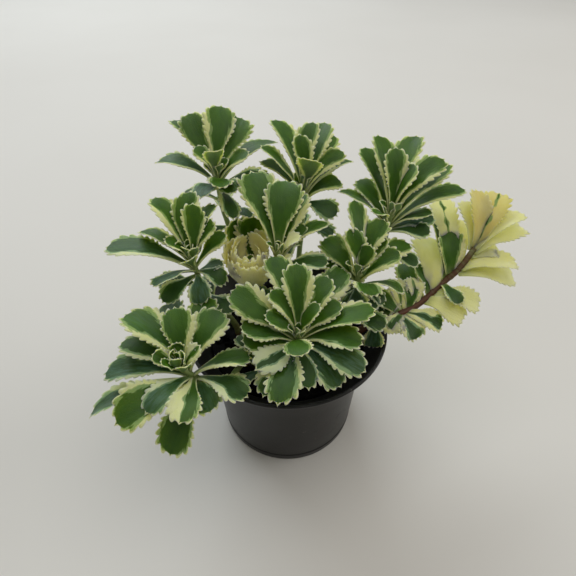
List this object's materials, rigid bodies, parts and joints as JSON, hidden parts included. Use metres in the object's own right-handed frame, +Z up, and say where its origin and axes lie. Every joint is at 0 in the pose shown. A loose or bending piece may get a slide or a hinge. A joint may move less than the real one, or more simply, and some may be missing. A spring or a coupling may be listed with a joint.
{
  "type": "potted sedum plant",
  "caption": "Variegated sedum with toothed, cream-edged leaves in rosettes and one trailing shoot, growing in a small round black plastic pot filled with soil.",
  "frame": {"origin": "middle of the pot's flat underside, on the surface that it stands on", "axes": "+Z up along the pot's axis, -Y towards the front, +X to the right, where the trailing shoot hangs out"},
  "size_m": [0.1781, 0.1277, 0.1398],
  "materials": {
    "pot_plastic": "satin black moulded plastic",
    "soil": "moist dark potting soil",
    "green_leaf": "smooth waxy green leaf with a cream edge",
    "cream_leaf": "smooth cream leaf",
    "pale_leaf": "smooth pale green leaf"
  },
  "bodies": {
    "root": {"pot": "pot_plastic", "soil": "soil", "shoot_front": "green_leaf", "shoot_front_left": "green_leaf", "shoot_left": "green_leaf", "shoot_back_left": "green_leaf", "shoot_back_middle": "green_leaf", "shoot_back_right": "green_leaf", "shoot_right_middle": "green_leaf", "shoot_centre": "green_leaf", "shoot_cream": "cream_leaf", "shoot_low": "green_leaf", "shoot_trailing": "pale_leaf"}
  },
  "joints": []
}
